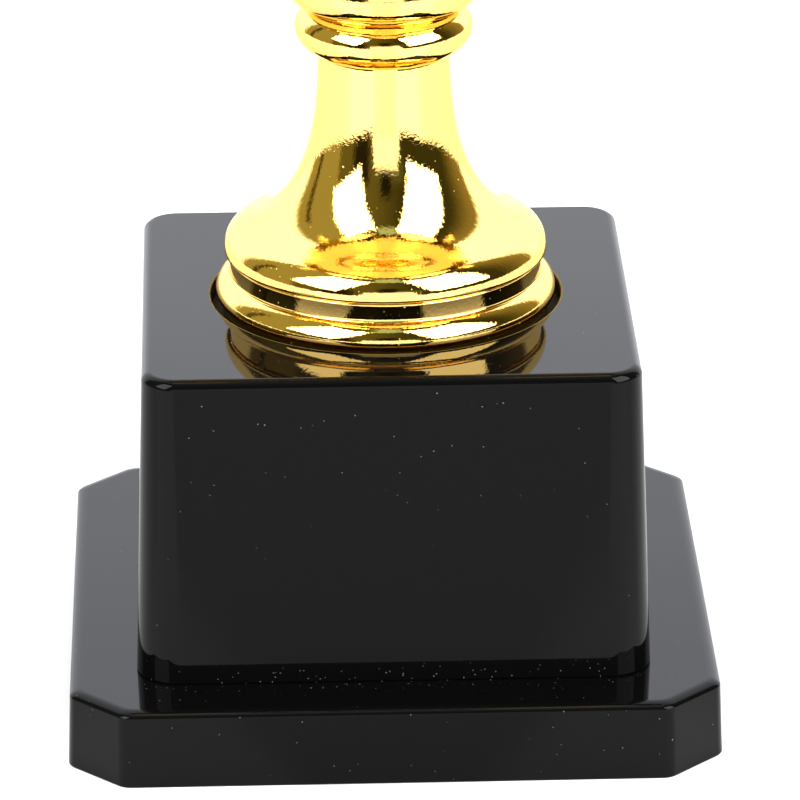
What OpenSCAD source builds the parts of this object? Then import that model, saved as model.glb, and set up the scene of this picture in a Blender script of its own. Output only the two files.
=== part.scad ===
// Column trophy: a metallised column on a two-tier square base, carrying a two-handled cup.
// Millimetres, +Z up. The origin is the centre of the base's underside, and the handles lie along X.

/* [Plinth] */
// Width across the flats at the bottom
plinth_w = 80; // [78:0.5:90]
// Width across the flats at the top
plinth_top_w = 79.3; // [77:0.1:79.5]
// Height
plinth_h = 9.75; // [9.5:0.05:12]
// Length that each cut corner takes off a side
plinth_corner = 6.8; // [6:0.1:9]
// Radius of the rounded top edge
plinth_round = 1.7; // [0.5:0.1:1.8]

/* [Block] */
// Width at the bottom
block_w = 63; // [60:0.1:64]
// Width at the top
block_top_w = 60.4; // [56:0.1:60.8]
// Height
block_h = 39.1; // [34:0.1:50]
// Radius of the upright corners at the bottom
block_corner = 5.5; // [4.5:0.1:7]
// Radius of the rounded top edge
block_round = 1.4; // [0.5:0.1:2]
// Radius of the round seat for the foot ring
seat_r = 22; // [21.5:0.05:24]
// Depth of the seat
seat_depth = 1; // [0.5:0.1:1.2]

/* [Column] */
// Largest radius of the foot ring
foot_r = 21.05; // [20.8:0.05:21.4]
// Radius of the foot ring's upright band, at its top
band_r = 19.4; // [19.3:0.05:19.5]
// Largest radius of the bell
bell_r = 20; // [19.8:0.05:20.5]
// Radius of the column's neck
neck_r = 8.2; // [7.5:0.05:8.5]
// Height of the bell column
bell_h = 26.05; // [24:0.05:32]
// Largest radius of the bead on the neck
bead_r = 11; // [10.5:0.05:12]
// Largest radius of the knop under the cup
knop_r = 12.45; // [12:0.05:14]

/* [Cup] */
// Radius of the bowl where its rounded part meets the wall
bowl_r = 43.5; // [42:0.5:45]
// Height of the bowl's rounded part
bowl_round_h = 41.5; // [38:0.5:44]
// Height of the wall above the rounded part
bowl_wall_h = 30; // [29.5:0.1:36]
// How far the wall flares out at the lip
lip_flare = 2.4; // [1:0.1:3]
// Thickness of the bowl
bowl_t = 1.7; // [1.4:0.1:2]
// Radius of the rolled lip
lip_r = 1.4; // [1:0.1:1.8]
// Radius of the handle's round bar
handle_r = 2.6; // [2.2:0.1:3]

/* [Fasteners] */
// Radius of the tie rod
rod_r = 2.5; // [2.5:0.1:2.6]
// Radius of the self-tapping screws that hold the base together
screw_r = 1.4; // [1.2:0.1:1.5]
// Radius of the screws that hold the handles
handle_screw_r = 1.2; // [1:0.1:1.3]

/* [Hidden] */
$fn = 96;
black = [0.05, 0.05, 0.055];
gold = [0.86, 0.66, 0.22];
steel = [0.62, 0.63, 0.65];
gap = 0.05;
ease = 0.03;

// Base
wall = 2.2;
plinth_deck = 2.2;
block_deck = 3.2;
block_top = plinth_h + block_h;
seat_z = block_top - seat_depth;
deck_under = plinth_h - plinth_deck;
pad_t = 1;
cover_t = 1.5;
cover_top = pad_t + cover_t;
cover_boss_at = 29;
block_boss_at = 21;
boss_r = 3.6;
head_r = 2.7;
head_h = 1.6;
block_screw_l = 12;
cover_screw_r = 1.05;
csk_r = 2.4;
csk_h = 1.3;
cover_screw_l = 4.6;
ballast_r = 24.5;
ballast_h = 8;
ballast_screw_at = 13;
ballast_screw_l = 7.5;

// Column
foot_lip_a = 2.37;
foot_lip_z = block_top + 0.85;
seat_groove = 1.2;
seat_groove_r = 20.2;
foot_top = block_top + 5.6;
band_foot_r = band_r - 0.12;
foot_cove = [band_foot_r + 0.24, block_top + 3.05];
foot_cove_lean = 62;
foot_wall = 2;
bell_z = foot_top;
bell_top = bell_z + bell_h;
bell_wall = 1.7;
bell_deck = 2;
bell_waist = [10.4, 11.4];
bell_waist_lean = 23;
bell_turn = [17, 4.15];
bell_turn_lean = 69;
bell_edge = 0.55;
bead_a = 5.2;
bead_h = 3.63;
bead_z = bell_top + 3.2;
knop_a = 4.2;
knop_h = 3.7;
bead_top = bead_z + 2.8;
knop_z = bead_top + 3.62;
rod_hole_r = rod_r + 0.25;

// Cup
flange_r = 8.5;
knop_top = knop_z + knop_h * sqrt(1 - pow((flange_r - knop_r + knop_a) / knop_a, 2));
bowl_low = knop_top + 0.7;
bowl_mid = bowl_low + bowl_round_h;
lip_z = bowl_mid + bowl_wall_h;
bowl_bend = (bowl_wall_h * bowl_wall_h + lip_flare * lip_flare) / (2 * lip_flare);
bowl_boss_r = 8.5;
bowl_floor = bowl_low + bowl_t + 1;
band_at = lip_z - 6;
band_bead_r = 0.8;

// Handles, each one arc of round bar
handle_bend = 17.5;
handle_x = bowl_r + 2.5;
handle_z = bowl_mid + 8.5;
handle_into = 25;
handle_screw_l = 8;
handle_head_r = 2.2;
handle_head_h = 1.2;
top_screw_x = bowl_out(handle_z + handle_bend) - bowl_t - 0.15;
tail_screw_x = bowl_r * sqrt(1 - pow((handle_bend + bowl_mid - handle_z) / bowl_round_h, 2)) - bowl_t - 0.6;

// Fastener stack
washer_r = 8;
washer_t = 1;
lock_r = 4.6;
lock_t = 1;
nut_af = 8;
nut_h = 2.7;
nut_z = deck_under - washer_t - lock_t - nut_h;
cap_nut_h = 4;
cap_dome_r = 3.6;
rod_top = bowl_floor + washer_t + cap_nut_h + 1.5;

// Points along a cubic Bezier curve
function bezier(a, b, c, d, n) = [for (i = [0:n]) let (t = i / n, s = 1 - t)
    s * s * s * a + 3 * s * s * t * b + 3 * s * t * t * c + t * t * t * d];

// Points along an arc of an ellipse
function ellipse_arc(x, z, a, b, from, to, n) = [for (i = [0:n]) let (t = from + (to - from) * i / n)
    [x + a * cos(t), z + b * sin(t)]];

// Outer radius of the bowl's upper wall at a height
function bowl_out(z) = bowl_r + bowl_bend - sqrt(bowl_bend * bowl_bend - pow(z - bowl_mid, 2));

// Outline of the bell's flare, from the neck down to its widest edge
function bell_flare(inset) = let (
    neck = [neck_r - inset, bell_top],
    waist = bell_waist + [0, bell_z] - inset * [cos(bell_waist_lean), sin(bell_waist_lean)],
    turn = bell_turn + [0, bell_z] - inset * [cos(bell_turn_lean), sin(bell_turn_lean)],
    edge = [bell_r - inset, bell_z + bell_edge],
    waist_run = [sin(bell_waist_lean), -cos(bell_waist_lean)],
    turn_run = [sin(bell_turn_lean), -cos(bell_turn_lean)])
    concat(bezier(neck, neck - [0, 4.5], waist - 4.9 * waist_run, waist, 12),
           bezier(waist, waist + 3.8 * waist_run, turn - 3.5 * turn_run, turn, 12),
           bezier(turn, turn + 1.7 * turn_run, edge + [0, 1.9], edge, 12));

module box_ring(r) {
    for (x = [-1, 1], y = [-1, 1]) translate([x * r, y * r, 0]) children();
}

// What a rounded top edge takes off a section whose side leans in by the draft angle
module edge_waste(x, z, r, draft) {
    translate([x, z]) difference() {
        polygon([[0, 0], 2 * r * [cos(draft), sin(draft)], [2 * r, 2 * r], [0, 2 * r]]);
        circle(r);
    }
}

// Half section, from its middle out, of a leaning side with a rounded top edge
module half_section(low, top, h, r) {
    draft = atan((low - top) / h);
    difference() {
        polygon([[0, 0], [low, 0], [top, h], [0, h]]);
        edge_waste(top + (low - top) * r / h - r / cos(draft) + ease, h - r + ease, r, draft);
    }
}

// Bar along Y with two leaning sides and rounded top edges
module leaning_bar(low, top, h, r, length) {
    rotate([90, 0, 0]) linear_extrude(height = length, center = true) {
        half_section(low, top, h, r);
        mirror([1, 0]) half_section(low, top, h, r);
    }
}

// Square block with leaning sides, round upright corners and a rounded top edge
module rounded_block(low, top, h, corner, r) {
    c = low - corner;
    leaning_bar(low, top, h, r, 2 * c);
    rotate([0, 0, 90]) leaning_bar(low, top, h, r, 2 * c);
    for (k = [0:3]) rotate([0, 0, 90 * k]) translate([c, c, 0])
        rotate_extrude(angle = 90) half_section(corner, top - c, h, r);
}

// Square slab with cut corners, leaning sides and an eased top edge
module cut_slab(w, top_w, h, corner, r) {
    lean = atan((w - top_w) / 2 / h);
    flat_at = (w - corner) / sqrt(2);
    difference() {
        rounded_block(w / 2, top_w / 2, h, corner - 2.8, r);
        for (k = [0:3]) rotate([0, 0, 45 + 90 * k]) {
            translate([flat_at, 0, 0]) rotate([0, -lean, 0])
                translate([0, -corner * 2, -h]) cube([corner * 2, corner * 4, 3 * h]);
            translate([flat_at - (w - top_w) / 2 - r / 2, 0, h]) rotate([0, -45, 0])
                translate([0, -corner * 2, -h]) cube([corner * 2, corner * 4, 2 * h]);
        }
    }
}

// Square plate with cut corners and upright sides
module cut_plate(w, corner, h) {
    d = (w - corner) * sqrt(2);
    intersection() {
        translate([-w / 2, -w / 2, 0]) cube([w, w, h]);
        rotate([0, 0, 45]) translate([-d / 2, -d / 2, 0]) cube([d, d, h]);
    }
}

module pan_screw(r, length) {
    translate([0, 0, -head_h]) cylinder(r = head_r, h = head_h);
    cylinder(r = r, h = length);
}

module plinth_shell() {
    inner_w = plinth_w - 2 * wall;
    color(black) difference() {
        union() {
            difference() {
                cut_slab(plinth_w, plinth_top_w, plinth_h, plinth_corner, plinth_round);
                translate([0, 0, -1]) cut_plate(inner_w, plinth_corner - wall * 0.6, deck_under + 1);
            }
            for (k = [0:3]) rotate([0, 0, 90 * k]) translate([cover_boss_at, 0, cover_top])
                cylinder(r = boss_r, h = deck_under - cover_top + 0.5);
        }
        for (k = [0:3]) rotate([0, 0, 90 * k]) translate([cover_boss_at, 0, cover_top - 1])
            cylinder(r = cover_screw_r + gap, h = 5);
        box_ring(block_boss_at) cylinder(r = screw_r + 0.2, h = plinth_h + 1);
        for (x = [-1, 1]) translate([x * ballast_screw_at, 0, 0])
            cylinder(r = screw_r + 0.2, h = plinth_h + 1);
        cylinder(r = rod_hole_r, h = plinth_h + 1);
    }
}

module block_shell() {
    color(black) translate([0, 0, plinth_h]) difference() {
        union() {
            difference() {
                rounded_block(block_w / 2, block_top_w / 2, block_h, block_corner, block_round);
                translate([0, 0, -1])
                    rounded_block(block_w / 2 - wall, block_top_w / 2 - wall,
                                  block_h - block_deck + 1, block_corner - wall, 0.5);
            }
            box_ring(block_boss_at) cylinder(r = boss_r, h = block_h - block_deck + 0.5);
        }
        box_ring(block_boss_at) translate([0, 0, -1]) cylinder(r = screw_r + gap, h = block_screw_l + 1);
        rotate_extrude() polygon([
            [0, block_h - seat_depth], [seat_groove_r, block_h - seat_depth],
            [seat_groove_r, block_h - seat_depth - seat_groove], [seat_r, block_h - seat_depth - seat_groove],
            [seat_r, block_h + 1], [0, block_h + 1]]);
        translate([0, 0, block_h - 2 * block_deck]) cylinder(r = rod_hole_r, h = 3 * block_deck);
    }
}

module bottom_cover() {
    color(black) translate([0, 0, pad_t]) difference() {
        cut_plate(plinth_w - 2 * wall - 0.6, plinth_corner - wall * 0.6, cover_t);
        for (k = [0:3]) rotate([0, 0, 90 * k]) translate([cover_boss_at, 0, 0]) {
            translate([0, 0, -1]) cylinder(r = cover_screw_r + gap, h = cover_t + 2);
            cylinder(r1 = csk_r + gap, r2 = cover_screw_r + gap, h = csk_h + gap);
        }
    }
}

module base_pad() {
    color([0.1, 0.1, 0.1]) cut_plate(plinth_w - 2 * wall - 2, plinth_corner - wall * 0.6, pad_t);
}

module cover_screws() {
    color(steel) for (k = [0:3]) rotate([0, 0, 90 * k]) translate([cover_boss_at, 0, pad_t]) {
        cylinder(r1 = csk_r, r2 = cover_screw_r, h = csk_h);
        cylinder(r = cover_screw_r, h = cover_screw_l);
    }
}

module block_screws() {
    color(steel) box_ring(block_boss_at) translate([0, 0, deck_under]) pan_screw(screw_r, block_screw_l);
}

module ballast_disc() {
    color([0.3, 0.3, 0.31]) translate([0, 0, plinth_h]) difference() {
        cylinder(r = ballast_r, h = ballast_h);
        translate([0, 0, -1]) cylinder(r = rod_hole_r + 0.5, h = ballast_h + 2);
        for (x = [-1, 1]) translate([x * ballast_screw_at, 0, -1])
            cylinder(r = screw_r + gap, h = ballast_screw_l);
    }
}

module ballast_screws() {
    color(steel) for (x = [-1, 1]) translate([x * ballast_screw_at, 0, deck_under])
        pan_screw(screw_r, ballast_screw_l);
}

// Ring with a rounded lip at its foot, a cove and a band that widens a little towards its top
module foot_ring() {
    lip_x = foot_r - foot_lip_a;
    color(gold) difference() {
        rotate_extrude() polygon(concat(
            [[0, seat_z], [lip_x, seat_z]],
            ellipse_arc(lip_x, foot_lip_z, foot_lip_a, foot_lip_z - seat_z, -85, 0, 12),
            bezier([foot_r, foot_lip_z + 0.02], [foot_r, foot_lip_z + 0.9],
                   foot_cove + [sin(foot_cove_lean), -cos(foot_cove_lean)], foot_cove, 10),
            [foot_cove + [-0.18, 0.2], [band_foot_r, foot_cove[1] + 0.4],
             [band_r, foot_top - 0.3], [band_r - 0.3, foot_top], [0, foot_top]]));
        translate([0, 0, seat_z - 1]) cylinder(r = lip_x - 1.2, h = foot_top - seat_z - foot_wall + 1);
        translate([0, 0, seat_z]) cylinder(r = rod_hole_r, h = foot_top);
    }
}

// Hollow flared column that stands on the foot ring
module bell_column() {
    color(gold) difference() {
        rotate_extrude() polygon(concat(
            [[0, bell_top]], bell_flare(0),
            [[bell_r - 0.13, bell_z + 0.13], [bell_r - bell_edge, bell_z], [0, bell_z]]));
        rotate_extrude() polygon(concat(
            [[0, bell_top - bell_deck]],
            [for (p = bell_flare(bell_wall)) if (p[1] < bell_top - bell_deck) p],
            [[bell_r - bell_wall, bell_z - 1], [0, bell_z - 1]]));
        translate([0, 0, bell_z]) cylinder(r = rod_hole_r, h = bell_h + 1);
    }
}

// Round bead threaded on the tie rod, with flat ends where its neighbours meet it
module turned_bead(r, a, h, z, low, high) {
    difference() {
        intersection() {
            rotate_extrude() polygon(concat(
                [[0, z - h]], ellipse_arc(r - a, z, a, h, -90, 90, 28), [[0, z + h]]));
            translate([0, 0, low]) cylinder(r = 2 * r, h = high - low);
        }
        translate([0, 0, low - 1]) cylinder(r = rod_hole_r, h = high - low + 2);
    }
}

module neck_bead() {
    color(gold) turned_bead(bead_r, bead_a, bead_h, bead_z, bell_top, bead_top);
}

module cup_knop() {
    color(gold) turned_bead(knop_r, knop_a, knop_h, knop_z, bead_top, knop_top);
}

// Outline of the bowl's outside, from its flange to its lip
function bowl_outside() = let (start = asin(flange_r / bowl_r)) concat(
    [[0, knop_top], [flange_r, knop_top]],
    ellipse_arc(0, bowl_mid, bowl_r, bowl_round_h, start - 90, 0, 24),
    [for (i = [1:10]) let (z = bowl_mid + bowl_wall_h * i / 10) [bowl_out(z), z]]);

module bowl_solid() {
    rotate_extrude() polygon(concat(bowl_outside(), [[0, lip_z]]));
}

// Axes of a handle's two screws, along X
module at_top_screw() {
    translate([top_screw_x, 0, handle_z + handle_bend]) rotate([0, 90, 0]) children();
}

module at_tail_screw() {
    translate([tail_screw_x, 0, handle_z - handle_bend]) rotate([0, 90, 0]) children();
}

module cup_bowl() {
    color(gold) difference() {
        union() {
            difference() {
                bowl_solid();
                rotate_extrude() polygon(concat(
                    [[0, bowl_mid]],
                    ellipse_arc(0, bowl_mid, bowl_r - bowl_t, bowl_round_h - bowl_t, -90, 0, 24),
                    [for (i = [1:11]) let (z = bowl_mid + bowl_wall_h * i / 10) [bowl_out(z) - bowl_t, z]],
                    [[0, lip_z + 3]]));
            }
            translate([0, 0, knop_top]) cylinder(r = bowl_boss_r, h = bowl_floor - knop_top);
            rotate_extrude() translate([bowl_out(lip_z) - bowl_t / 2, lip_z]) circle(lip_r, $fn = 32);
            rotate_extrude() translate([bowl_out(band_at), band_at]) circle(band_bead_r, $fn = 32);
        }
        translate([0, 0, knop_top - 1]) cylinder(r = rod_hole_r, h = 8);
        for (s = [0, 1]) mirror([s, 0, 0]) {
            at_top_screw() translate([0, 0, -2]) cylinder(r = handle_screw_r + gap, h = 6);
            at_tail_screw() translate([0, 0, -2]) cylinder(r = handle_screw_r + gap, h = 6);
        }
    }
}

// Round bar bent into an open loop, with its ends let into the bowl's curved side
module handle() {
    difference() {
        translate([handle_x, 0, handle_z]) rotate([90, 0, 0]) rotate([0, 0, -90 - handle_into])
            rotate_extrude(angle = 180 + 2 * handle_into)
                translate([handle_bend, 0]) circle(handle_r, $fn = 48);
        bowl_solid();
        at_top_screw() cylinder(r = handle_screw_r + gap, h = handle_screw_l + 1);
        at_tail_screw() cylinder(r = handle_screw_r + gap, h = handle_screw_l + 1);
    }
}

module right_handle() {
    color(gold) handle();
}

module left_handle() {
    color(gold) mirror([1, 0, 0]) handle();
}

module handle_screw() {
    translate([0, 0, -handle_head_h]) cylinder(r = handle_head_r, h = handle_head_h);
    cylinder(r = handle_screw_r, h = handle_screw_l);
}

module handle_screws() {
    color(steel) for (s = [0, 1]) mirror([s, 0, 0]) {
        at_top_screw() handle_screw();
        at_tail_screw() handle_screw();
    }
}

module hex_prism(af, h) {
    cylinder(r = af / sqrt(3), h = h, $fn = 6);
}

module ring(r, hole, h) {
    difference() {
        cylinder(r = r, h = h);
        translate([0, 0, -1]) cylinder(r = hole, h = h + 2);
    }
}

module tie_rod() {
    color(steel) translate([0, 0, nut_z]) cylinder(r = rod_r, h = rod_top - nut_z);
}

module rod_nut() {
    color(steel) translate([0, 0, nut_z]) difference() {
        hex_prism(nut_af, nut_h);
        translate([0, 0, -1]) cylinder(r = rod_r + gap, h = nut_h + 2);
    }
}

module lock_washer() {
    color(steel) translate([0, 0, nut_z + nut_h]) difference() {
        ring(lock_r, rod_r + 0.1, lock_t);
        rotate([0, 0, 90]) translate([0, -0.35, -1]) cube([lock_r + 1, 0.7, lock_t + 2]);
    }
}

module rod_washer() {
    color(steel) translate([0, 0, deck_under - washer_t]) ring(washer_r, rod_r + 0.15, washer_t);
}

module bowl_washer() {
    color(steel) translate([0, 0, bowl_floor]) ring(washer_r - 1, rod_r + 0.15, washer_t);
}

module cap_nut() {
    color(steel) translate([0, 0, bowl_floor + washer_t]) difference() {
        union() {
            hex_prism(nut_af, cap_nut_h);
            translate([0, 0, cap_nut_h]) intersection() {
                sphere(cap_dome_r);
                cylinder(r = cap_dome_r + 1, h = cap_dome_r + 1);
            }
        }
        translate([0, 0, -1]) cylinder(r = rod_r + gap, h = cap_nut_h + 2.6);
    }
}

plinth_shell();
block_shell();
bottom_cover();
base_pad();
cover_screws();
block_screws();
ballast_disc();
ballast_screws();
foot_ring();
bell_column();
neck_bead();
cup_knop();
cup_bowl();
left_handle();
right_handle();
handle_screws();
tie_rod();
rod_nut();
lock_washer();
rod_washer();
bowl_washer();
cap_nut();
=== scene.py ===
import math

import bpy
from mathutils import Euler, Matrix, Vector


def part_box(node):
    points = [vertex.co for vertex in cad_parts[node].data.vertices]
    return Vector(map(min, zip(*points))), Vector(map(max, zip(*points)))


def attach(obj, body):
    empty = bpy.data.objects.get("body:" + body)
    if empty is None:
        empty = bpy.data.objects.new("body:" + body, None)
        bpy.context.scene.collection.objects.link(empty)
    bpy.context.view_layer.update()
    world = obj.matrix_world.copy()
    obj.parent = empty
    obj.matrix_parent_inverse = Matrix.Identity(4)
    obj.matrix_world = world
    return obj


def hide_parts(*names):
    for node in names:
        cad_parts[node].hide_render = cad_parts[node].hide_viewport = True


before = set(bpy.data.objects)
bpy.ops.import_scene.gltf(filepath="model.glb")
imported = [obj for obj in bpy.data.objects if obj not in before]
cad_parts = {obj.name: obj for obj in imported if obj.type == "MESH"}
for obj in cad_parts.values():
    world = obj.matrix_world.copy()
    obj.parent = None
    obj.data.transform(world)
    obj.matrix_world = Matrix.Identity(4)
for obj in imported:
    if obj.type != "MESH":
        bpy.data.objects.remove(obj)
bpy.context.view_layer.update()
scene = bpy.context.scene

MM = 0.001
UP = math.pi / 2
DOWN = -math.pi / 2


# ---------------------------------------------------------------- where things are, in mm, from the CAD

def top_of(node):
    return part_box(node)[1].z / MM


def bottom_of(node):
    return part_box(node)[0].z / MM


def half_width(node):
    low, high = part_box(node)
    return (high.x - low.x) / 2 / MM


PLINTH_HALF = half_width("plinth_shell")
PLINTH_TOP = top_of("plinth_shell")
BLOCK_HALF = half_width("block_shell")
BLOCK_TOP = top_of("block_shell")
SEAT_FLOOR = bottom_of("foot_ring")
BELL_FOOT = bottom_of("bell_column")
BELL_TOP = top_of("bell_column")
BEAD_TOP = top_of("neck_bead")
KNOP_TOP = top_of("cup_knop")

# sizes that more than one piece uses, in mm
ROD_HOLE_R = 2.75
WALL = 2.2
FOOT_ROUND = 0.3
SEAT_R = 21.75
SEAT_RIM = 0.2


# ---------------------------------------------------------------- mesh helpers

HARD_TURN = math.radians(28)


def new_object(name, verts, faces, normals):
    mesh = bpy.data.meshes.new(name)
    mesh.from_pydata([tuple(c * MM for c in v) for v in verts], [], faces)
    mesh.update()
    mesh.polygons.foreach_set("use_smooth", [True] * len(mesh.polygons))
    mesh.normals_split_custom_set_from_vertices(normals)
    obj = bpy.data.objects.new(name, mesh)
    scene.collection.objects.link(obj)
    return obj


def loft(name, rings):
    """Joins closed rings of (point, normal) pairs. Two rings in one place make a hard edge."""
    count = len(rings[0])
    verts = [p for ring in rings for p, n in ring]
    normals = [Vector(n).normalized() for ring in rings for p, n in ring]
    faces = []
    for i, (low, high) in enumerate(zip(rings, rings[1:])):
        gap = max((Vector(low[k][0]) - Vector(high[k][0])).length for k in range(0, count, 7))
        if gap < 1e-6:
            continue
        for k in range(count):
            a, b = i * count + k, i * count + (k + 1) % count
            faces.append((a, b, b + count, a + count))
    return new_object(name, verts, faces, normals)


def curve_normals(points):
    """Splits an open (r, z) line where it turns sharply. Gives (r, z, nr, nz) with normals on the right."""
    steps = [Vector((b[0] - a[0], b[1] - a[1])).normalized() for a, b in zip(points, points[1:])]
    out = []
    for i, (r, z) in enumerate(points):
        before = steps[max(i - 1, 0)]
        after = steps[min(i, len(steps) - 1)]
        if before.angle(after, 0.0) > HARD_TURN:
            out.append((r, z, before.y, -before.x))
            out.append((r, z, after.y, -after.x))
        else:
            mean = (before + after).normalized()
            out.append((r, z, mean.y, -mean.x))
    return out


def lathe(name, points, segments=256):
    """Turns a line of (r, z) points, listed so that the outside is on its right, round the Z axis."""
    rings = []
    for r, z, nr, nz in curve_normals(points):
        ring = []
        for k in range(segments):
            a = 2 * math.pi * k / segments
            c, s = math.cos(a), math.sin(a)
            ring.append(((r * c, r * s, z), (nr * c, nr * s, nz)))
        rings.append(ring)
    return loft(name, rings)


def bezier(a, b, c, d, n):
    """n + 1 points along a cubic curve."""
    a, b, c, d = (Vector(p) for p in (a, b, c, d))
    out = []
    for i in range(n + 1):
        t = i / n
        s = 1 - t
        p = s ** 3 * a + 3 * s * s * t * b + 3 * s * t * t * c + t ** 3 * d
        out.append((p.x, p.y))
    return out


def arc(x, z, a, b, start, end, n):
    """n + 1 points along an ellipse's arc, with its angles in degrees."""
    out = []
    for i in range(n + 1):
        t = math.radians(start + (end - start) * i / n)
        out.append((x + a * math.cos(t), z + b * math.sin(t)))
    return out


# ---------------------------------------------------------------- node helpers

class Nodes:
    """A short way to write node trees."""

    def __init__(self, tree):
        self.tree = tree
        self.tree.nodes.clear()

    def add(self, kind, **settings):
        node = self.tree.nodes.new(kind)
        for key, value in settings.items():
            setattr(node, key, value)
        return node

    def put(self, socket, value):
        if isinstance(value, bpy.types.NodeSocket):
            self.tree.links.new(value, socket)
        else:
            socket.default_value = value

    def math(self, op, a, b=0.0, c=0.0):
        node = self.add("ShaderNodeMath", operation=op)
        for socket, value in zip(node.inputs, (a, b, c)):
            self.put(socket, value)
        return node.outputs[0]

    def product(self, *values):
        out = values[0]
        for v in values[1:]:
            out = self.math("MULTIPLY", out, v)
        return out

    def highest(self, *values):
        out = values[0]
        for v in values[1:]:
            out = self.math("MAXIMUM", out, v)
        return out

    def within(self, value, low, high):
        """1 between two values, else 0."""
        return self.product(self.math("GREATER_THAN", value, low), self.math("LESS_THAN", value, high))

    def distance(self, a, b):
        return self.math("ABSOLUTE", self.math("SUBTRACT", a, b))

    def split(self, vector):
        node = self.add("ShaderNodeSeparateXYZ")
        self.put(node.inputs[0], vector)
        return node.outputs

    def ramp(self, value, low, high, to_low=0.0, to_high=1.0):
        node = self.add("ShaderNodeMapRange", interpolation_type="SMOOTHSTEP")
        for socket, v in zip(node.inputs, (value, low, high, to_low, to_high)):
            self.put(socket, v)
        return node.outputs[0]

    def blend(self, factor, a, b):
        """Mixes two colours, each an (r, g, b) tuple or a socket."""
        node = self.add("ShaderNodeMix", data_type="RGBA")
        self.put(node.inputs[0], factor)
        for socket, colour in ((node.inputs[6], a), (node.inputs[7], b)):
            self.put(socket, (*colour, 1) if isinstance(colour, tuple) else colour)
        return node.outputs[2]

    def noise(self, vector, scale, detail=2.0, rough=0.5):
        node = self.add("ShaderNodeTexNoise")
        for key, value in (("Vector", vector), ("Scale", scale), ("Detail", detail), ("Roughness", rough)):
            self.put(node.inputs[key], value)
        return node.outputs["Fac"]

    def specks(self, vector, per_metre, size, share):
        """Small round dots: 1 inside a dot. share is how many of the cells hold one."""
        node = self.add("ShaderNodeTexVoronoi", feature="F1")
        self.put(node.inputs["Vector"], vector)
        self.put(node.inputs["Scale"], per_metre)
        chance = self.add("ShaderNodeSeparateColor")
        self.put(chance.inputs[0], node.outputs["Color"])
        radius = self.math("MULTIPLY", chance.outputs[1], size)
        dot = self.ramp(node.outputs["Distance"], self.math("MULTIPLY", radius, 0.6), radius, 1.0, 0.0)
        return self.product(dot, self.math("LESS_THAN", chance.outputs[0], share))


def material(name):
    mat = bpy.data.materials.new(name)
    mat.use_nodes = True
    n = Nodes(mat.node_tree)
    out = n.add("ShaderNodeOutputMaterial")
    shader = n.add("ShaderNodeBsdfPrincipled")
    n.put(out.inputs[0], shader.outputs[0])
    place = n.add("ShaderNodeTexCoord").outputs["Object"]
    return mat, n, shader, place


def bump(n, shader, height, strength, distance):
    node = n.add("ShaderNodeBump")
    n.put(node.inputs["Strength"], strength)
    n.put(node.inputs["Distance"], distance)
    n.put(node.inputs["Height"], height)
    n.put(shader.inputs["Normal"], node.outputs[0])


# ---------------------------------------------------------------- materials

def gold_material():
    """Metallised gloss plastic: slightly wavy, with faint haze and a little dust."""
    mat, n, shader, place = material("bright_gold")
    shader.inputs["Metallic"].default_value = 1.0
    shader.inputs["Specular Tint"].default_value = (1.0, 0.88, 0.62, 1)
    fade = n.noise(place, 60.0, 2.0)
    n.put(shader.inputs["Base Color"], n.blend(fade, (0.93, 0.61, 0.172), (0.95, 0.635, 0.192)))
    haze = n.noise(place, 900.0, 4.0, 0.6)
    dust = n.specks(place, 1250.0, 0.19, 0.5)
    rough = n.highest(n.ramp(haze, 0.3, 0.8, 0.015, 0.04), n.product(dust, 0.6))
    n.put(shader.inputs["Roughness"], rough)
    swell = n.noise(place, 260.0, 1.5)
    peel = n.noise(place, 2300.0, 2.0, 0.6)
    bump(n, shader, n.math("MULTIPLY_ADD", peel, 0.7, swell), 1.0, 0.00002)
    return mat


def black_material():
    """Gloss plastic with dust, and a seat for the foot ring that isn't polished and holds a painted
    reflection of the ring's gold.
    """
    mat, n, shader, place = material("gloss_black")
    x, y, z = n.split(place)

    # dust lies all over, and thickest along the seam between block and plinth
    side = n.highest(n.math("ABSOLUTE", x), n.math("ABSOLUTE", y))
    away = n.highest(n.distance(side, BLOCK_HALF * MM), n.distance(z, PLINTH_TOP * MM))
    seam_dust = n.product(n.specks(place, 1500.0, 0.17, 0.8), n.ramp(away, 0.0002, 0.003, 1.0, 0.0))
    dust = n.highest(n.specks(place, 760.0, 0.08, 0.8), seam_dust)
    colour = n.blend(dust, (0.0016, 0.0016, 0.0018), (0.11, 0.11, 0.113))

    # the seat's wall and groove are dull and painted dark brown, a painted reflection of the gold ring, and
    # a thin painted reflection of the ring's gold lies along the seat's edge
    flat = n.add("ShaderNodeCombineXYZ")
    n.put(flat.inputs[0], x)
    n.put(flat.inputs[1], y)
    length = n.add("ShaderNodeVectorMath", operation="LENGTH")
    n.put(length.inputs[0], flat.outputs[0])
    from_axis = length.outputs["Value"]
    seat_dull_with_painted_reflection = n.product(n.math("LESS_THAN", from_axis, (SEAT_R + 0.15) * MM),
                     n.within(z, (BLOCK_TOP - 3) * MM, (BLOCK_TOP - 0.12) * MM))
    # edge: the seat's rounded rim, where the painted reflection of the ring's gold lies
    edge = n.product(n.within(from_axis, SEAT_R * MM, (SEAT_R + 0.23) * MM),
                     n.math("GREATER_THAN", z, (BLOCK_TOP - SEAT_RIM) * MM))
    # painted reflection of the gold foot ring: dark brown in the seat, brighter gold along its rim
    colour = n.blend(seat_dull_with_painted_reflection, colour, (0.03, 0.021, 0.006))
    n.put(shader.inputs["Base Color"], n.blend(edge, colour, (0.15, 0.105, 0.025)))

    polish = n.ramp(n.noise(place, 45.0, 5.0, 0.6), 0.35, 0.75, 0.02, 0.05)
    n.put(shader.inputs["Roughness"], n.highest(polish, n.product(n.highest(dust, seat_dull_with_painted_reflection, edge), 0.7)))
    shader.inputs["IOR"].default_value = 1.18
    bump(n, shader, n.noise(place, 55.0, 1.0), 0.03, 0.001)
    return mat


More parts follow.
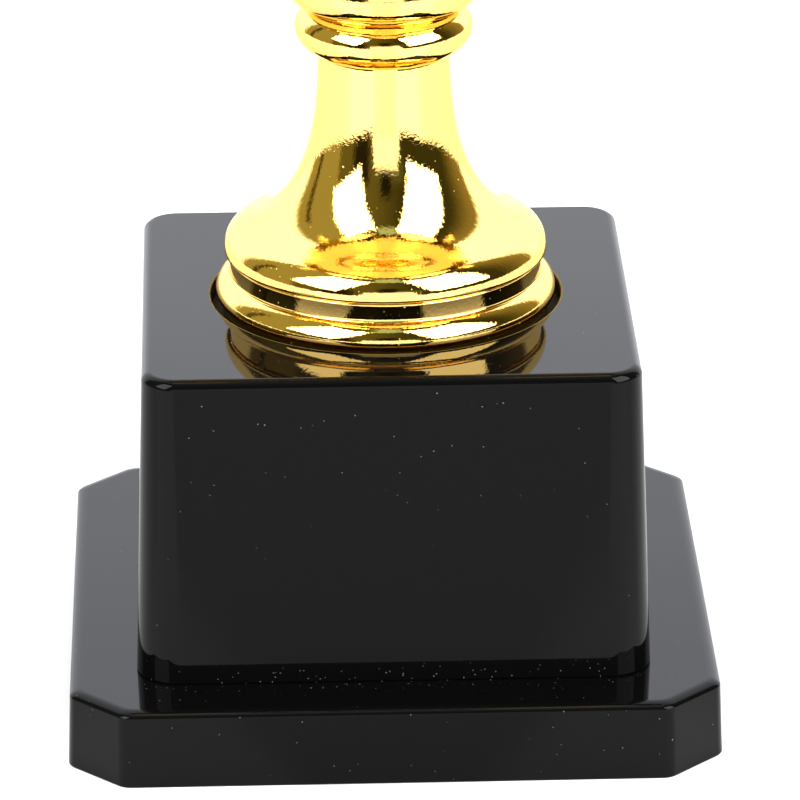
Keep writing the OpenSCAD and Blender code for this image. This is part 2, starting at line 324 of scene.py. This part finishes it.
def steel_material():
    mat, n, shader, place = material("zinc_steel")
    shader.inputs["Metallic"].default_value = 1.0
    colour = n.blend(n.noise(place, 700.0, 3.0), (0.42, 0.43, 0.45), (0.62, 0.63, 0.64))
    n.put(shader.inputs["Base Color"], colour)
    n.put(shader.inputs["Roughness"], n.ramp(n.noise(place, 2500.0, 3.0), 0.3, 0.7, 0.24, 0.42))
    return mat


def matte_black_material():
    mat, n, shader, place = material("matte_black")
    colour = n.blend(n.noise(place, 900.0, 4.0), (0.012, 0.012, 0.013), (0.02, 0.02, 0.022))
    n.put(shader.inputs["Base Color"], colour)
    shader.inputs["Roughness"].default_value = 0.55
    bump(n, shader, n.noise(place, 3000.0, 2.0), 0.3, 0.0001)
    return mat


def felt_material():
    mat, n, shader, place = material("black_felt")
    fibre = n.noise(place, 4200.0, 5.0, 0.7)
    n.put(shader.inputs["Base Color"], n.blend(fibre, (0.006, 0.006, 0.007), (0.035, 0.035, 0.038)))
    shader.inputs["Roughness"].default_value = 0.95
    shader.inputs["Sheen Weight"].default_value = 0.4
    bump(n, shader, fibre, 0.8, 0.0003)
    return mat


def iron_material():
    mat, n, shader, place = material("cast_iron")
    colour = n.blend(n.noise(place, 500.0, 4.0), (0.08, 0.08, 0.085), (0.16, 0.155, 0.15))
    n.put(shader.inputs["Base Color"], colour)
    shader.inputs["Metallic"].default_value = 0.8
    shader.inputs["Roughness"].default_value = 0.6
    bump(n, shader, n.noise(place, 1500.0, 4.0), 0.5, 0.0002)
    return mat


gold = gold_material()
black = black_material()
steel = steel_material()


def finish_piece(obj, mat, slot, *nodes):
    obj.data.materials.append(mat)
    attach(obj, "root")
    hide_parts(*nodes)


# ---------------------------------------------------------------- base

BLOCK_CORNER_AT = 26.0
PLINTH_CUT = 6.8
PLINTH_CORNER_R = 2.3


def outline_point(centre, direction, radius, tilt, z):
    """A ring's point at a radius from its corner's axis; tilt is its normal's elevation."""
    p = centre + direction * radius
    out = math.cos(tilt)
    return (p.x, p.y, z), (direction.x * out, direction.y * out, math.sin(tilt))


def block_outline(half, tilt, z, steps=14):
    """Ring of a square with round corners about fixed corner axes."""
    ring = []
    at = BLOCK_CORNER_AT
    for q in range(4):
        turn = Matrix.Rotation(q * math.pi / 2, 2)
        for i in range(steps):
            along = turn @ Vector((at, -at + 2 * at * i / steps))
            ring.append(outline_point(along, turn @ Vector((1, 0)), half - at, tilt, z))
        for i in range(steps):
            a = math.pi / 2 * i / steps
            d = turn @ Vector((math.cos(a), math.sin(a)))
            ring.append(outline_point(turn @ Vector((at, at)), d, half - at, tilt, z))
    return ring


def plinth_outline(inset, tilt, z, per_side=6, per_corner=5):
    """Ring of a square with cut corners, whose eight upright edges are rounded."""
    cut = (2 * PLINTH_HALF - PLINTH_CUT) / math.sqrt(2)
    flat_at, cut_at = (d - inset - PLINTH_CORNER_R for d in (PLINTH_HALF, cut))
    axes = []
    for i in range(8):
        a, b = math.radians(45 * i), math.radians(45 * (i + 1))
        d1, d2 = (flat_at, cut_at) if i % 2 == 0 else (cut_at, flat_at)
        axis = Vector((d1 * math.sin(b) - d2 * math.sin(a), d2 * math.cos(a) - d1 * math.cos(b)))
        axes.append(axis / math.sin(b - a))
    ring = []
    for i in range(8):
        for k in range(per_side):
            a = math.radians(45 * i)
            along = axes[i - 1].lerp(axes[i], k / per_side)
            ring.append(outline_point(along, Vector((math.cos(a), math.sin(a))), PLINTH_CORNER_R, tilt, z))
        for k in range(per_corner):
            a = math.radians(45 * (i + k / per_corner))
            ring.append(outline_point(axes[i], Vector((math.cos(a), math.sin(a))), PLINTH_CORNER_R, tilt, z))
    return ring


def circle_like(ring, radius, nr, nz, z):
    """A circle with one point at the bearing of each point of another ring."""
    out = []
    for p, n in ring:
        d = Vector((p[0], p[1])).normalized()
        out.append(((d.x * radius, d.y * radius, z), (d.x * nr, d.y * nr, nz)))
    return out


def rod_hole(ring, top, bottom):
    """Rings down the rod's hole, from the face it starts in to the face it ends in."""
    stations = ((0, 1, top), (-1, 0, top), (-1, 0, bottom), (0, -1, bottom))
    return [circle_like(ring, ROD_HOLE_R, nr, nz, z) for nr, nz, z in stations]


def facing_in(ring):
    """A ring of the hollow's wall, with level normals that point inwards."""
    return [(p, (-n[0], -n[1], 0)) for p, n in ring]


def make_block():
    low, high = PLINTH_TOP, BLOCK_TOP
    draft, edge_r, deck = 1.3, 1.25, 3.2
    lean = math.atan(draft / (high - low))

    def half_at(z):
        return BLOCK_HALF - draft * (z - low) / (high - low)

    rings = [block_outline(BLOCK_HALF - inset, DOWN, low) for inset in (WALL, FOOT_ROUND)]
    for i in range(1, 6):
        t = DOWN + (UP + lean) * i / 5
        half = BLOCK_HALF - FOOT_ROUND + FOOT_ROUND * math.cos(t)
        rings.append(block_outline(half, t, low + FOOT_ROUND + FOOT_ROUND * math.sin(t)))
    side_low = low + FOOT_ROUND
    side_top = high - edge_r + edge_r * math.sin(lean)
    for i in range(1, 10):
        z = side_low + (side_top - side_low) * i / 9
        rings.append(block_outline(half_at(z), lean, z))
    edge_at = half_at(side_top) - edge_r * math.cos(lean)
    for i in range(1, 13):
        t = lean + (UP - lean) * i / 12
        rings.append(block_outline(edge_at + edge_r * math.cos(t), t, high - edge_r + edge_r * math.sin(t)))

    # the top runs from the square edge to the round seat
    edge = rings[-1]
    seat_edge = circle_like(edge, SEAT_R + SEAT_RIM, 0, 1, high)
    for i in range(1, 6):
        rings.append([(tuple(Vector(a).lerp(Vector(b), i / 5)), (0, 0, 1))
                      for (a, _), (b, _) in zip(edge, seat_edge)])
    for i in range(1, 8):
        t = UP * i / 7
        r, z = SEAT_R + SEAT_RIM - SEAT_RIM * math.sin(t), high - SEAT_RIM + SEAT_RIM * math.cos(t)
        rings.append(circle_like(edge, r, -math.sin(t), math.cos(t), z))

    # a groove lies round the seat's floor
    groove_floor, groove_r = SEAT_FLOOR - 1.2, 20.2
    for r, z, nr, nz in ((SEAT_R, groove_floor, -1, 0), (SEAT_R, groove_floor, 0, 1),
                         (groove_r, groove_floor, 0, 1), (groove_r, groove_floor, 1, 0),
                         (groove_r, SEAT_FLOOR, 1, 0), (groove_r, SEAT_FLOOR, 0, 1)):
        rings.append(circle_like(edge, r, nr, nz, z))
    rings += rod_hole(edge, SEAT_FLOOR, high - deck)
    inner = half_at(high - deck) - WALL
    rings.append(block_outline(inner, DOWN, high - deck))
    rings.append(facing_in(block_outline(inner, 0, high - deck)))
    rings.append(facing_in(block_outline(BLOCK_HALF - WALL, 0, low)))
    return loft("gloss_block", rings)


def make_plinth():
    high = PLINTH_TOP
    draft, edge_deep, edge_tall, deck = 0.35, 1.6, 0.8, 2.2
    lean = math.atan(draft / high)
    rings = [plinth_outline(inset, DOWN, 0) for inset in (WALL, FOOT_ROUND)]
    for i in range(1, 6):
        t = DOWN + (UP + lean) * i / 5
        inset = FOOT_ROUND - FOOT_ROUND * math.cos(t)
        rings.append(plinth_outline(inset, t, FOOT_ROUND + FOOT_ROUND * math.sin(t)))
    side_top = high - edge_tall
    for i in range(1, 4):
        z = FOOT_ROUND + (side_top - FOOT_ROUND) * i / 3
        rings.append(plinth_outline(draft * z / high, lean, z))
    edge_at = draft * side_top / high + edge_deep
    for i in range(1, 17):
        t = UP * i / 16
        tilt = max(lean, math.atan2(math.sin(t) / edge_tall, math.cos(t) / edge_deep))
        inset = edge_at - edge_deep * math.cos(t)
        rings.append(plinth_outline(inset, tilt, side_top + edge_tall * math.sin(t)))
    edge = rings[-1]
    rings += [circle_like(edge, r, 0, 1, high) for r in (30.0, 15.0)]
    rings += rod_hole(edge, high, high - deck)
    rings.append(plinth_outline(WALL, DOWN, high - deck))
    rings += [facing_in(plinth_outline(WALL, 0, z)) for z in (high - deck, 0)]
    return loft("gloss_plinth", rings)


finish_piece(make_block(), black, "black_gloss", "block_shell")
finish_piece(make_plinth(), black, "black_gloss", "plinth_shell")


# ---------------------------------------------------------------- column

def slant(degrees, length):
    """A step down and outwards, at this many degrees off vertical."""
    a = math.radians(degrees)
    return Vector((math.sin(a), -math.cos(a))) * length


def make_foot_ring():
    z, top = SEAT_FLOOR, BELL_FOOT
    hollow_r, lip_in, lip_h = 17.5, 19.3, 1.85
    lip = Vector((21.05, z + lip_h))
    cove = Vector((19.5, z + 4.05))
    line = [(hollow_r, z), (lip_in, z)] + arc(lip_in, lip.y, lip.x - lip_in, lip_h, -85, 0, 16)
    line += bezier(lip, lip + Vector((0, 0.9)), cove + slant(62, 0.9), cove, 28)[1:]
    line += bezier(cove, cove - slant(62, 0.2), (19.28, z + 4.25), (19.28, z + 4.5), 12)[1:]
    line += [(19.36, top - 0.45)] + arc(19.02, top - 0.36, 0.36, 0.36, 5, 90, 10)
    line += [(ROD_HOLE_R, top), (ROD_HOLE_R, top - 2), (hollow_r, top - 2), (hollow_r, z)]
    return lathe("foot_ring_gold", line)


def make_bell():
    foot, top = BELL_FOOT, BELL_TOP
    neck, edge = Vector((8.2, top + 0.2)), Vector((20.0, foot + 0.55))
    waist, turn = Vector((10.4, foot + 11.41)), Vector((17.03, foot + 4.15))
    outside = bezier(neck, neck + slant(0, 4.5), waist - slant(22.8, 4.9), waist, 60)
    outside += bezier(waist, waist + slant(22.8, 3.8), turn - slant(69, 3.46), turn, 60)[1:]
    outside += bezier(turn, turn + slant(69, 1.66), edge - slant(0, 1.95), edge, 60)[1:]
    outside = [p for p in outside if p[1] < top - 0.12]
    inside = [(r - 1.7, z - 0.6) for r, z in outside[::6] if foot + 1.5 < z < top - 2.2]
    line = [(17.0, foot), (19.4, foot)] + arc(19.5, foot + 0.5, 0.5, 0.5, -85, 0, 10)
    line += outside[::-1]
    line += [(8.15, top - 0.04), (8.05, top), (ROD_HOLE_R, top), (ROD_HOLE_R, top - 2), (6.4, top - 2.2)]
    line += inside + [(17.6, foot + 0.8), (17.0, foot)]
    return lathe("bell_gold", line)


def turned_piece(name, radius, a, h, centre, low, high):
    """A round piece with an elliptical rim, a wide and 2h high, cut flat at low and high."""
    turn = [(x, z) for x, z in arc(radius - a, centre, a, h, -88, 88, 90) if low + 0.02 < z < high - 0.02]
    line = [(ROD_HOLE_R, low), (turn[0][0] - 0.03, low)] + turn
    line += [(turn[-1][0] - 0.03, high), (ROD_HOLE_R, high), (ROD_HOLE_R, low)]
    return lathe(name, line)


finish_piece(make_foot_ring(), gold, "gold_bright", "foot_ring")
finish_piece(make_bell(), gold, "gold_bright", "bell_column")
bead = turned_piece("bead_gold", 11.0, 5.2, 3.63, BELL_TOP + 3.2, BELL_TOP, BEAD_TOP)
knop = turned_piece("knop_gold", 12.4, 3.7, 3.6, BEAD_TOP + 3.5, BEAD_TOP, KNOP_TOP)
finish_piece(bead, gold, "gold_bright", "neck_bead")
finish_piece(knop, gold, "gold_bright", "cup_knop")


# ---------------------------------------------------------------- cup

BOWL_R, BOWL_ROUND, BOWL_WALL, FLARE, BOWL_T = 43.5, 41.5, 30.0, 2.4, 1.7
BOWL_LOW = KNOP_TOP + 0.7
BOWL_MID = BOWL_LOW + BOWL_ROUND
LIP_Z = BOWL_MID + BOWL_WALL
BEND = (BOWL_WALL ** 2 + FLARE ** 2) / (2 * FLARE)


def bowl_out(z):
    return BOWL_R + BEND - math.sqrt(BEND ** 2 - (z - BOWL_MID) ** 2)


def wall_line(start, end, steps, inset=0.0):
    """Points on the bowl's flared wall from one height to another."""
    heights = [start + (end - start) * i / steps for i in range(steps + 1)]
    return [(bowl_out(z) - inset, z) for z in heights]


def make_bowl():
    boss_r, lip_r, band_r = 8.5, 1.4, 0.8
    band_z = LIP_Z - 6
    floor = BOWL_LOW + BOWL_T + 1
    round_start = math.degrees(math.asin(boss_r / BOWL_R)) - 90 + 0.6
    line = [(ROD_HOLE_R, KNOP_TOP), (boss_r - 0.3, KNOP_TOP), (boss_r, KNOP_TOP + 0.3)]
    line += arc(0, BOWL_MID, BOWL_R, BOWL_ROUND, round_start, 0, 110)
    line += wall_line(BOWL_MID, band_z - 0.9, 40)[1:]
    line += arc(bowl_out(band_z) + 0.05, band_z, band_r, band_r, -75, 75, 14)
    line += wall_line(band_z + 0.95, LIP_Z - 1.35, 6)
    line += arc(bowl_out(LIP_Z) - BOWL_T / 2, LIP_Z, lip_r, lip_r, -50, 228, 44)
    line += wall_line(LIP_Z - 1.5, BOWL_MID, 40, BOWL_T)[:-1]
    line += arc(0, BOWL_MID, BOWL_R - BOWL_T, BOWL_ROUND - BOWL_T, 0, -79.2, 90)
    line += [(8.0, floor), (ROD_HOLE_R, floor), (ROD_HOLE_R, KNOP_TOP)]
    return lathe("bowl_gold", line, 280)


def tube(name, path, radius, segments=40):
    """A round bar along a flat path in the XZ plane."""
    rings = []
    for i, (x, z) in enumerate(path):
        a = path[max(i - 1, 0)]
        b = path[min(i + 1, len(path) - 1)]
        along = Vector((b[0] - a[0], 0, b[1] - a[1])).normalized()
        side = Vector((along.z, 0, -along.x))
        ring = []
        for k in range(segments):
            t = 2 * math.pi * k / segments
            d = side * math.cos(t) + Vector((0, 1, 0)) * math.sin(t)
            ring.append(((x + d.x * radius, d.y * radius, z + d.z * radius), tuple(d)))
        rings.append(ring)
    return loft(name, rings)


def make_handle(name, side):
    bend_r, bar_r = 17.5, 2.6
    path = arc(BOWL_R + 2.5, BOWL_MID + 8.5, bend_r, bend_r, -100, 98, 96)
    if side < 0:
        path = [(-x, z) for x, z in path[::-1]]
    return tube(name, path, bar_r)


finish_piece(make_bowl(), gold, "gold_bright", "cup_bowl")
finish_piece(make_handle("handle_right_gold", 1), gold, "gold_bright", "right_handle")
finish_piece(make_handle("handle_left_gold", -1), gold, "gold_bright", "left_handle")


# ---------------------------------------------------------------- CAD nodes that stay

def dress(node, mat):
    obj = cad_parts[node]
    obj.data.materials.clear()
    obj.data.materials.append(mat)


for node in ("cover_screws", "block_screws", "ballast_screws", "handle_screws", "tie_rod", "rod_nut",
             "lock_washer", "rod_washer", "bowl_washer", "cap_nut"):
    dress(node, steel)
dress("bottom_cover", matte_black_material())
dress("base_pad", felt_material())
dress("ballast_disc", iron_material())


# ---------------------------------------------------------------- floor, surroundings and camera

def make_floor():
    side, front, back = 1.6, -0.93, 2.6
    corners = [(-side, front, 0), (side, front, 0), (side, back, 0), (-side, back, 0)]
    mesh = bpy.data.meshes.new("floor")
    mesh.from_pydata(corners, [], [(0, 1, 2, 3)])
    obj = bpy.data.objects.new("floor", mesh)
    scene.collection.objects.link(obj)
    mat = bpy.data.materials.new("pale_floor")
    mat.use_nodes = True
    n = Nodes(mat.node_tree)
    out = n.add("ShaderNodeOutputMaterial")
    shader = n.add("ShaderNodeBsdfDiffuse")
    n.put(out.inputs[0], shader.outputs[0])
    x, y, _ = n.split(n.add("ShaderNodeTexCoord").outputs["Object"])
    # the floor is a little lighter to both sides of the middle; the darker floor in front is painted shade
    bearing = n.math("ABSOLUTE", n.math("ARCTAN2", x, n.math("MULTIPLY", y, -1.0)))
    clear_of_painted_shade = n.product(n.ramp(bearing, 0.22, 0.36), n.ramp(bearing, 0.9, 1.2, 1.0, 0.0))
    # painted shade: 0.68 albedo where shaded, 0.92 on the flanks
    n.put(shader.inputs[0], n.blend(clear_of_painted_shade, (0.68, 0.68, 0.69), (0.92, 0.92, 0.93)))
    obj.data.materials.append(mat)


def make_world():
    """A studio that lights the object and shows in its gloss. The camera sees plain white."""
    world = bpy.data.worlds.new("studio")
    scene.world = world
    world.use_nodes = True
    n = Nodes(world.node_tree)
    out = n.add("ShaderNodeOutputWorld")
    shine = n.add("ShaderNodeBackground")
    plain = n.add("ShaderNodeBackground")
    plain.inputs[0].default_value = (1, 1, 1, 1)
    plain.inputs[1].default_value = 1.2
    rays = n.add("ShaderNodeLightPath")
    choose = n.add("ShaderNodeMixShader")
    n.put(choose.inputs[0], rays.outputs["Is Camera Ray"])
    n.put(choose.inputs[1], shine.outputs[0])
    n.put(choose.inputs[2], plain.outputs[0])
    n.put(out.inputs[0], choose.outputs[0])

    # directions in degrees: az from the front towards the right, el upwards
    x, y, z = n.split(n.add("ShaderNodeTexCoord").outputs["Generated"])
    az = n.math("MULTIPLY", n.math("ARCTAN2", x, n.math("MULTIPLY", y, -1.0)), 180 / math.pi)
    el = n.math("MULTIPLY", n.math("ARCSINE", z), 180 / math.pi)

    def between(v, low, high, soft):
        return n.product(n.ramp(v, low - soft, low + soft), n.ramp(v, high - soft, high + soft, 1.0, 0.0))

    def past(a, b, soft=0.8):
        return n.ramp(n.math("SUBTRACT", a, b), -soft, soft)

    def with_el(base, per_degree):
        return n.math("MULTIPLY_ADD", el, per_degree, base)

    def with_az(base, per_degree):
        return n.math("MULTIPLY_ADD", az, per_degree, base)

    # the room's dark front half, olive to the left and browner at its far right
    colour = n.blend(between(az, -90.0, 0.0, 30.0), (0.048, 0.047, 0.015), (0.15, 0.14, 0.045))
    colour = n.blend(between(az, -122.0, -70.0, 4.0), colour, (0.40, 0.378, 0.151))
    colour = n.blend(n.ramp(az, 84.0, 122.0, 0.0, 0.75), colour, (0.42, 0.35, 0.13))

    # panels in it: az low, high and blur, el low, high and blur, and colour
    for across, upright, tone in (
            ((-107.5, -102.0, 1.0), (-3.0, 38.0, 3.0), (0.09, 0.07, 0.02)),
            ((-48.0, -24.0, 5.0), (-4.0, 22.0, 5.0), (0.02, 0.017, 0.008)),
            ((-13.0, 24.0, 5.0), (6.0, 20.0, 5.0), (0.12, 0.13, 0.05)),
            ((-7.0, 7.0, 3.0), (10.0, 30.0, 4.0), (0.014, 0.015, 0.008)),
            ((-14.0, 16.0, 2.0), (57.0, 80.0, 2.0), (0.535, 0.72, 0.55))):
        colour = n.blend(n.product(between(az, *across), between(el, *upright)), colour, tone)

    # a white sheet low in front, the white back half and ceiling, and the dark below the horizon
    sheet = n.product(past(az, with_el(-19.5, 0.35), 1.5), past(with_el(21.5, -0.35), az, 1.5),
                      n.ramp(el, 9.0, 16.0, 1.0, 0.0))
    colour = n.blend(sheet, colour, (2.1, 2.17, 2.31))
    back = n.math("SUBTRACT", 1.0, between(az, -121.0, 123.0, 4.0))
    colour = n.blend(n.highest(back, n.ramp(el, 74.0, 84.0)), colour, (2.5, 2.58, 2.75))
    low = n.product(n.ramp(el, -5.0, -3.0, 1.0, 0.0), n.math("SUBTRACT", 1.0, back))
    colour = n.blend(low, colour, (0.08, 0.075, 0.04))

    # two softboxes with slanting edges
    left = n.product(past(az, with_el(-76.0, 0.16)), past(with_el(-41.5, 0.42), az),
                     past(el, with_az(0.5, -0.27)), past(with_az(56.0, -0.12), el, 1.0))
    right = n.product(past(az, with_el(33.5, -0.24)), past(with_el(76.0, 0.02), az),
                      past(el, with_az(4.5, 0.10)), n.ramp(el, 61.0, 63.0, 1.0, 0.0))
    n.put(shine.inputs[0], n.blend(n.highest(left, right), colour, (9.5, 9.5, 9.5)))


def make_camera():
    data = bpy.data.cameras.new("camera")
    data.sensor_width = 36.0
    data.lens = 290.19
    data.clip_start = 0.05
    data.clip_end = 50.0
    obj = bpy.data.objects.new("camera", data)
    scene.collection.objects.link(obj)
    place = Vector((-0.019293, -0.748783, 0.332831))
    turn = Euler([math.radians(a) for a in (68.26009, 0.35898, -1.74908)])
    obj.matrix_world = Matrix.Translation(place) @ turn.to_matrix().to_4x4()
    scene.camera = obj


make_floor()
make_world()
make_camera()
scene.view_settings.view_transform = "Standard"
